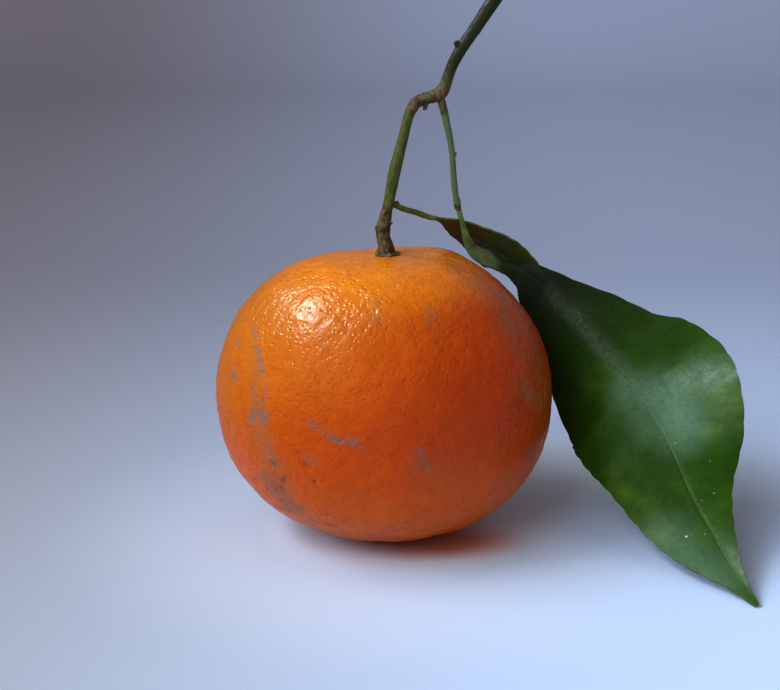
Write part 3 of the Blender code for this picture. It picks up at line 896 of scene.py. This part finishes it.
def make_calyx(settings):
    """The star of sepals, laid on the rind round the foot of the stem."""
    tree = cad_tree("fruit")
    mesh = bmesh.new()
    bmesh.ops.create_uvsphere(mesh, u_segments=180, v_segments=28, radius=1)
    data = mesh_from(mesh, "calyx_star")
    ball = points_of(data) * MM
    points = []
    rims = []
    for x, y, level in ball:
        turn = math.atan2(y, x)
        sepal = (0.5 + 0.5 * math.cos(SEPALS * turn)) ** SEPAL_SHARPNESS
        out = min(math.hypot(x, y), 1.0)
        reach = (CALYX_RADIUS + SEPAL_REACH * sepal) * out
        spot = (CALYX_CENTRE[0] + reach * math.cos(turn), CALYX_CENTRE[1] + reach * math.sin(turn))
        hit = tree.ray_cast(Vector((*spot, 100)) * MM, Vector((0, 0, -1)))[0]
        crown = CALYX_CROWN * math.exp(-((reach / CALYX_CROWN_RADIUS) ** 2))
        ridge = SEPAL_RIDGE * math.cos(2 * SEPALS * turn) * out
        thick = (CALYX_THICKNESS + crown + ridge) * (0.5 + 0.5 * math.copysign(abs(level) ** 0.5, level))
        points.append((*spot, hit.z / MM - CALYX_SINK + thick))
        rims.append(out**6)
    points = np.array(points)
    size, height = CALYX_SWELLINGS
    points[:, 2] += height * ripple(points, size, seed=21) * (ball[:, 2] > 0)
    place_points(data, points)
    set_attribute(data, "rim", rims)
    data.shade_smooth()
    add_piece("calyx_star", data, "calyx", "sepal", calyx_material(settings))


def wood_tube(path, rows, sides):
    """A closed mesh along a smooth path whose points give x, y, z and radius."""
    path = np.array(path)
    along = distances(path[:, :3])
    samples = smooth_through(along, path, np.linspace(0, along[-1], rows))
    curve = bpy.data.curves.new("wood_line", "CURVE")
    curve.dimensions = "3D"
    curve.bevel_depth = MM
    curve.bevel_resolution = (sides - 4) // 2
    curve.use_fill_caps = True
    spline = curve.splines.new("POLY")
    spline.points.add(rows - 1)
    for point, (x, y, z, radius) in zip(spline.points, samples):
        point.co = (x * MM, y * MM, z * MM, 1)
        point.radius = radius
    return settled(show("wood_line", curve))


def bud(root, point, root_radius, point_radius):
    """A small tapered bud, spur or cushion that leans out of the wood."""
    root = Vector(root) * MM
    point = Vector(point) * MM
    out = point - root
    mesh = bmesh.new()
    radii = {"radius1": root_radius * MM, "radius2": point_radius * MM}
    bmesh.ops.create_cone(mesh, cap_ends=True, segments=20, depth=out.length, **radii)
    turn = out.to_track_quat("Z", "Y").to_matrix().to_4x4()
    bmesh.ops.transform(mesh, matrix=Matrix.Translation((root + point) / 2) @ turn, verts=mesh.verts[:])
    return mesh_from(mesh, "bud")


def grown_together(parts, voxel):
    """One skin over all the parts, with their joins rounded."""
    mesh = bmesh.new()
    for part in parts:
        mesh.from_mesh(part)
    bmesh.ops.remove_doubles(mesh, verts=mesh.verts[:], dist=0.002 * MM)
    wood = show("wood", mesh_from(mesh, "wood"))
    skin = wood.modifiers.new("skin", "REMESH")
    skin.mode = "VOXEL"
    skin.voxel_size = voxel
    rounding = wood.modifiers.new("rounding", "SMOOTH")
    rounding.factor = 0.5
    rounding.iterations = 5
    return settled(wood)


def cut_off(data, place, facing):
    """Cuts the wood off with a flat face, which takes the second material."""
    mesh = bmesh.new()
    mesh.from_mesh(data)
    bmesh.ops.bisect_plane(
        mesh,
        geom=mesh.verts[:] + mesh.edges[:] + mesh.faces[:],
        dist=1e-7,
        plane_co=Vector(place) * MM,
        plane_no=Vector(facing),
        clear_outer=True,
    )
    rim = [edge for edge in mesh.edges if edge.is_boundary]
    for face in bmesh.ops.holes_fill(mesh, edges=rim)["faces"]:
        face.material_index = 1
    mesh.to_mesh(data)
    mesh.free()


def bark_material(settings):
    shade = Surface("bark_young_and_old", {"Specular IOR Level": 0.22})
    where = shade.place()
    lengthwise = where.vector("MULTIPLY", (1.0, 1.0, 0.22))
    streaks = lengthwise.noise(0.45, 3.0, 0.6)
    patches = where.mottle(1.8)
    age = (shade.stored("age") + (patches - 0.5) * 0.35).fade(0.32, 0.62)
    pore = lengthwise.cells(0.8)
    young = shade.layers(
        settings.young,
        (streaks.fade(0.35, 0.68), scaled(settings.young, 1.6)),
        # Painted shade: darker high up on the stem.
        (where.part("Z").fade(97.0, 103.0), settings.shaded),
        (shade.stored("twig"), settings.twig),
    )
    old = shade.layers(
        settings.old,
        (patches, GREY_BARK),
        (streaks.fade(0.48, 0.3), scaled(settings.old, 0.35)),
    )
    tone = shade.layers(
        young,
        (age, old),
        (pore.fade(0.2, 0.08) * 0.4, LENTICEL),
        (shade.stored("joint"), DARK_JOINT),
    )
    height = lengthwise.grain(0.55, 0.22) * age + lengthwise.grain(0.8, 0.06)
    roughness = age * 0.3 + 0.48
    return shade.finish(tone, height, Roughness=roughness)


def cut_wood_material(settings):
    shade = Surface("wood_cut", {"Roughness": 0.75})
    where = shade.place()
    out = where.vector("DISTANCE", STEM_CUT)
    tone = shade.layers(
        settings.wood,
        (where.noise(0.25, 3.0), scaled(settings.wood, 0.75)),
        (out.fade(0.36, 0.26), PITH),
        (out.fade(1.2, 1.35), settings.young),
    )
    return shade.finish(tone, where.grain(0.2, 0.05))


def bark_age(points, knots):
    """How old and corky the bark is at each point, with the knots at the buds' points."""
    age = np.zeros(len(points))
    stretches = [(centre, 1.15 * reach, 0.75 * reach, 1.0) for centre, reach in OLD_WOOD]
    stretches += [(point, 1.5, 0.3, knots) for _, point, *_ in BUDS]
    for centre, start, end, most in stretches:
        away = np.linalg.norm(points - np.array(centre), axis=1)
        age = np.maximum(age, most * ease(away, start, end))
    return age


def make_stem(settings):
    parts = [wood_tube(STEM_PATH, 120, 24), wood_tube(TWIG_PATH, 60, 20)]
    parts += [bud(*each) for each in BUDS]
    data = grown_together(parts, settings.voxel)
    data.name = "stem_bark"
    points = points_of(data)
    relief = np.zeros(len(points))
    for order, (stretch, size, height) in enumerate(BARK_RELIEF):
        relief += height * ripple(points * np.array([1.0, 1.0, stretch]), size, seed=31 + order)
    relief *= YOUNG_RELIEF + (1 - YOUNG_RELIEF) * bark_age(points, 0.45)
    place_points(data, points + normals_of(data) * relief[:, None])
    cut_off(data, STEM_CUT, STEM_CUT_FACING)
    points = points_of(data)
    set_attribute(data, "age", bark_age(points, 0.35))
    off_twig = line_distance(points, np.array(TWIG_PATH)[1:, :3])
    set_attribute(data, "twig", ease(off_twig, 2.2, 1.3))
    off_joint = points - np.array(TWIG_JOINT)
    aside = np.maximum(np.hypot(off_joint[:, 0], off_joint[:, 1]) - TWIG_JOINT_SPAN, 0)
    set_attribute(data, "joint", 0.8 * ease(abs(off_joint[:, 2]) + 4 * aside, 0.6, 0.2))
    data.shade_smooth()
    data.set_sharp_from_angle(angle=math.radians(60))
    add_piece("stem_bark", data, "stem", "bark", bark_material(settings), cut_wood_material(settings))


def section(reach, fold, width):
    """How far across and up a half blade goes, out to reach from the midrib.

    The half turns up to its fold within the crease, and droops towards its margin.
    """
    steps = (np.arange(SECTION_STEPS) + 0.5) / SECTION_STEPS
    out = reach[:, None] * steps
    angle = fold[:, None] * (1 - np.exp(-out / CREASE_RADIUS))
    angle = angle - math.radians(HALF_DROOP) * out / width[:, None]
    across = np.cos(angle).mean(axis=1) * reach
    return across, np.sin(angle).mean(axis=1) * reach


def leaf_surface(leaf, u, v):
    """The upper side in mm: u runs from -1 at the left margin to 1, v from stalk to tip."""
    path = np.array(leaf["path"])
    along = distances(path)
    place = v * along[-1]
    centre = smooth_through(along, path, place)
    before, after = (np.clip(place + step, 0, along[-1]) for step in (-0.1, 0.1))
    tangent = unit(smooth_through(along, path, after) - smooth_through(along, path, before))
    looks = unit(np.array([facing for _, facing in leaf["facing"]]))
    normal = smooth_through([where for where, _ in leaf["facing"]], looks, place)
    normal = unit(normal - (normal * tangent).sum(axis=1, keepdims=True) * tangent)
    to_right = np.cross(normal, tangent)
    outline = np.array(leaf["outline"], float)
    rows = smooth_through(outline[:, 0], outline[:, 1:], place)
    side = np.where(u < 0, -1.0, 1.0)
    width = np.where(u < 0, rows[:, 0], rows[:, 1])
    fold = np.radians(np.where(u < 0, rows[:, 2], rows[:, 3]))
    blade = np.clip((place - leaf["blade_from"]) / BLADE_EASE, 0, 1)
    tooth = abs(np.sin(math.pi * place / leaf["tooth"] + side)) - 0.6
    width = width + blade * TOOTH_DEPTH * tooth * np.minimum(1, width / 3)
    width = width + joint_swell(leaf, place)
    across, up = section(abs(u) * width, fold, width)
    wave = np.sin(2 * math.pi * place / WAVE_LENGTH + 1.3 * side)
    up = up + leaf["wave"] * blade * wave * u**2 * np.minimum(1, width / 10)
    if "crease" in leaf:
        crease = leaf["crease"]
        off = abs(place - crease["from"] - crease["slant"] * u * width)
        up = up - crease["depth"] * np.exp(-off / crease["reach"]) * ease(u * width, 0.3, 7.0)
    groove = np.exp(-((abs(u) * width / GROOVE_WIDTH) ** 2))
    up = up - GROOVE_DEPTH * blade * groove * ease(width, 3, 15)
    points = centre + (side * across)[:, None] * to_right + up[:, None] * normal
    return points, place, side * abs(u) * width, along[-1]


def joint_swell(leaf, place):
    """How far the joint between stalk and blade stands out, in mm."""
    return JOINT_SWELL * np.exp(-(((place - leaf["joint"]) / JOINT_LENGTH) ** 2))


def leaf_material(name, settings, side):
    """The leaf's upper side or underside, with its stalk."""
    look = LEAF_SIDES[side]
    base = getattr(settings, look["tone"])
    relief = look["relief"]
    shade = Surface(f"{name}_{side}", {"Specular IOR Level": 0.13})
    where = shade.place()
    along = shade.stored("along")
    from_blade = shade.stored("from_blade")
    spacing = settings.vein_spacing / MM
    veins, net, rib = shade.group(leaf_veins(), where, shade.stored("across"), along, spacing)
    spots = where.mottle(2.6)
    yellow = shade.stored("patch") * where.noise(3.0, 3.0).fade(0.2, 0.75)
    streaks = where.vector("MULTIPLY", (1.0, 0.5, 1.6)).noise(1.2, 4.0, 0.65)
    spread = where.cells(1 / 0.45)
    size = spread.lot().fade(0.3, 1.0, 0.0, 0.15) * shade.stored("speck")
    ring = (from_blade + 1.0).math("ABSOLUTE").fade(1.2, 0.4, 0.0, 0.7)
    stalk = shade.mix(spots, settings.stalk_green, scaled(settings.stalk_green, 0.6))
    tone = shade.layers(
        base,
        (where.mottle(11.0) * 0.55, scaled(base, 1.75)),
        (spots * 0.25, scaled(base, 0.55)),
        # Painted shade near the stalk on the upper side, painted warm light there underneath.
        (along.fade(*look["painted_stalk_end_span"], 0.0, 0.9), getattr(settings, look["painted_stalk_end"])),
        (yellow, settings.patch),
        (veins * look["veins"], settings.rib),
        (net * look["net"], settings.rib),
        (rib * shade.stored("rib"), settings.rib),
        (where.cells(0.75).fade(0.22, 0.1, 0.0, 0.16), settings.patch),
        (shade.stored("dust") * streaks.fade(0.1, 0.9), settings.dust),
        # A painted sheen over the upper side, where the marks lie.
        (shade.stored("bloom") * streaks.fade(0.2, 0.7, 0.6, 1.0), settings.bloom),
        (spread.math("LESS_THAN", size), LEAF_SPECK),
        (from_blade.fade(3.5, -0.5), stalk),
        (ring, LEAF_JOINT),
    )
    height = veins * relief + net * (0.3 * relief) + where.noise(3.4, 2.0) * 0.10
    height = height + streaks * 0.05 + where.grain(0.4, 0.02)
    roughness = spots * 0.1 + look["roughness"]
    return shade.finish(tone, height, Roughness=roughness)


def margin_material(settings):
    shade = Surface("leaf_margin", {"Roughness": 0.5})
    patches = shade.place().mottle(5.0)
    return shade.finish(shade.mix(patches, settings.upper, settings.patch))


def make_leaf(name, leaf, node, slot, settings, stage, marks):
    """A leaf: an open sheet by formula, thickened below into blade, rib and stalk."""
    mesh = bmesh.new()
    bmesh.ops.create_grid(mesh, x_segments=leaf["columns"], y_segments=leaf["rows"], size=1)
    bmesh.ops.reverse_faces(mesh, faces=mesh.faces[:])
    data = mesh_from(mesh, name)
    grid = points_of(data) * MM
    u = np.sign(grid[:, 0]) * abs(grid[:, 0]) ** MIDRIB_CROWDING
    points, place, across, whole = leaf_surface(leaf, u, (grid[:, 1] + 1) / 2)
    place_points(data, points)
    from_blade = place - leaf["blade_from"]
    fade = np.clip(1 - from_blade / (whole - leaf["blade_from"]), 0, 1)
    blade = settings.thickness / MM
    rib = leaf["rib"] * fade * np.exp(-((across / RIB_WIDTH) ** 2))
    stalk = (settings.stalk / MM - blade) * np.clip(-from_blade / STALK_EASE, 0, 1)
    stalk = stalk * np.exp(-(across**2))
    thickness = blade + np.maximum(rib, stalk) + joint_swell(leaf, place)
    start, full, ebb, end = PALE_RIB
    pale = 0.1 + 0.45 * ease(place, start, full) * (1 - ease(place, ebb, end))
    stored = {"across": across, "along": place, "from_blade": from_blade, "rib": pale}
    for label, values in stored.items():
        set_attribute(data, label, values)
    add_marks(data, points, cad_tree(node), marks, stage)
    for side in LEAF_SIDES:
        data.materials.append(leaf_material(name, settings, side))
    data.materials.append(margin_material(settings))
    sheet = show(name + "_sheet", data)
    group = sheet.vertex_groups.new(name="thickness")
    for index, value in enumerate(thickness / thickness.max()):
        group.add([index], value, "REPLACE")
    solid = sheet.modifiers.new("thickness", "SOLIDIFY")
    solid.thickness = thickness.max() * MM
    solid.offset = -1
    solid.vertex_group = "thickness"
    solid.material_offset = 1
    solid.material_offset_rim = 2
    data = settled(sheet)
    data.name = name
    data.shade_smooth()
    data.set_sharp_from_angle(angle=math.radians(60))
    add_piece(name, data, node, slot)


def paper_material(settings):
    """The sweep's paper, with painted shade that makes it dimmer at the left and behind."""
    shade = Surface("sweep_paper", {"Roughness": 0.85})
    where = shade.place()
    rightward = where.part("X").fade(*SWEEP_BRIGHTENS)
    near = shade.mix(rightward, settings.painted_shade_floor, settings.floor)
    far = shade.mix(rightward, settings.painted_shade_backdrop, settings.backdrop)
    for centre, stretch, start, end, most, tint in FLOOR_TINTS:
        off = where.vector("SUBTRACT", centre).vector("MULTIPLY", stretch)
        near = shade.mix(off.vector("LENGTH").fade(start, end, 0.0, most), near, tint)
    behind = where.part("Y").fade(*SWEEP_TURNS)
    return shade.finish(shade.mix(behind, near, far))


def make_sweep(settings):
    """The paper that the fruit rests on, which bends up into the backdrop."""
    mesh = bmesh.new()
    bmesh.ops.create_grid(mesh, x_segments=8, y_segments=160, size=1)
    run = (SWEEP_BACK - SWEEP_BEND) - SWEEP_FRONT
    arc = SWEEP_BEND * math.pi / 2
    for vertex in mesh.verts:
        along = (vertex.co.y + 1) / 2 * (run + arc + SWEEP_RISE)
        angle = min(max((along - run) / SWEEP_BEND, 0), math.pi / 2)
        y = SWEEP_FRONT + min(along, run) + SWEEP_BEND * math.sin(angle)
        z = SWEEP_BEND * (1 - math.cos(angle)) + max(along - run - arc, 0)
        vertex.co = Vector((vertex.co.x * SWEEP_HALF_WIDTH, y, z)) * MM
    data = mesh_from(mesh, "sweep")
    data.shade_smooth()
    data.materials.append(paper_material(settings))
    sweep = show("sweep", data)


def make_room(settings):
    """The soft light from the room all round."""
    scene = bpy.context.scene
    scene.world = bpy.data.worlds.new("room")
    scene.world.use_nodes = True
    room = Shading(scene.world.node_tree)
    way = room.add("ShaderNodeTexCoord", "Generated")
    towards = way.vector("DOT_PRODUCT", NEAR_WALLS_WAY).fade(0.1, 0.9)
    walls = room.mix(towards, settings.walls, settings.near_walls)
    light = room.mix(way.part("Z").fade(0.0, 1.0), walls, settings.ceiling)
    room.feed(room.tree.nodes["Background"].inputs["Color"], light)
    scene.view_settings.view_transform = "Standard"
    scene.view_settings.gamma = VIEW_GAMMA


def add_light(name, power, towards, distance, size, tint, turn, shows_in):
    """A rectangular light that looks at the fruit from some way off."""
    data = bpy.data.lights.new(name, "AREA")
    data.shape = "RECTANGLE"
    data.size = size[0] * MM
    data.size_y = size[1] * MM
    data.energy = power
    data.color = tint
    light = show(name, data)
    way = Vector(towards).normalized()
    light.location = (Vector(FRUIT_CENTRE) + way * distance) * MM
    rolled = way.to_track_quat("Z", "Y") @ Quaternion((0.0, 0.0, 1.0), math.radians(turn))
    light.rotation_euler = rolled.to_euler()
    light.visible_camera = False
    light.visible_diffuse = shows_in == "diffuse"
    light.visible_glossy = shows_in == "glossy"


def make_stage(settings):
    """The sweep that the fruit rests on, the lights and the camera."""
    make_room(settings)
    make_sweep(settings)
    for name, light in LIGHTS.items():
        add_light(name, getattr(settings, name), *light)
    lens = bpy.data.cameras.new("camera")
    lens.sensor_width = SENSOR_WIDTH
    lens.lens = settings.lens
    lens.clip_start = 10 * MM
    camera = show("camera", lens)
    camera.location = Vector(camera_axes(settings)[0]) * MM
    camera.rotation_euler = (math.pi / 2 - settings.elevation, 0, 0)
    bpy.context.scene.camera = camera


class ORANGE_OT_rind(Operator):
    """Builds the fruit's pitted rind"""

    bl_idname = "orange.rind"
    bl_label = "Rind"

    def execute(self, context):
        make_rind(context.scene.orange_rind, context.scene.orange_stage)
        return {"FINISHED"}


class ORANGE_OT_calyx(Operator):
    """Builds the dried star of sepals under the stem"""

    bl_idname = "orange.calyx"
    bl_label = "Calyx"

    def execute(self, context):
        make_calyx(context.scene.orange_calyx)
        return {"FINISHED"}


class ORANGE_OT_stem(Operator):
    """Builds the woody stem with its twig and buds"""

    bl_idname = "orange.stem"
    bl_label = "Stem"

    def execute(self, context):
        make_stem(context.scene.orange_stem)
        return {"FINISHED"}


class ORANGE_OT_leaves(Operator):
    """Builds the large and the small leaf"""

    bl_idname = "orange.leaves"
    bl_label = "Leaves"

    def execute(self, context):
        given = context.scene.orange_leaves, context.scene.orange_stage
        make_leaf("leaf_large_blade", LARGE_LEAF, "leaf_large", "leaf", *given, LEAF_MARKS)
        no_marks = dict.fromkeys(LEAF_MARKS, ())
        make_leaf("leaf_small_blade", SMALL_LEAF, "leaf_small", "leaf_back", *given, no_marks)
        return {"FINISHED"}


class ORANGE_OT_stage(Operator):
    """Sets up the sweep, the lights and the camera"""

    bl_idname = "orange.stage"
    bl_label = "Stage"

    def execute(self, context):
        make_stage(context.scene.orange_stage)
        return {"FINISHED"}


class VIEW3D_PT_orange(Panel):
    bl_label = "Picked Orange"
    bl_space_type = "VIEW_3D"
    bl_region_type = "UI"
    bl_category = "Orange"

    def draw(self, context):
        for name, operator in zip(SETTINGS, OPERATORS):
            box = self.layout.box()
            box.operator(operator.bl_idname)
            settings = getattr(context.scene, name)
            for label in settings.__annotations__:
                box.prop(settings, label)


SETTINGS = {
    "orange_rind": RindSettings,
    "orange_calyx": CalyxSettings,
    "orange_stem": StemSettings,
    "orange_leaves": LeafSettings,
    "orange_stage": StageSettings,
}
OPERATORS = [ORANGE_OT_rind, ORANGE_OT_calyx, ORANGE_OT_stem, ORANGE_OT_leaves, ORANGE_OT_stage]
CLASSES = [*SETTINGS.values(), *OPERATORS, VIEW3D_PT_orange]


def register():
    for each in CLASSES:
        bpy.utils.register_class(each)
    for name, group in SETTINGS.items():
        setattr(bpy.types.Scene, name, PointerProperty(type=group))


def unregister():
    for name in SETTINGS:
        delattr(bpy.types.Scene, name)
    for each in reversed(CLASSES):
        bpy.utils.unregister_class(each)


def main():
    register()
    bpy.ops.orange.rind()
    bpy.ops.orange.calyx()
    bpy.ops.orange.stem()
    bpy.ops.orange.leaves()
    bpy.ops.orange.stage()


if __name__ == "__main__":
    main()
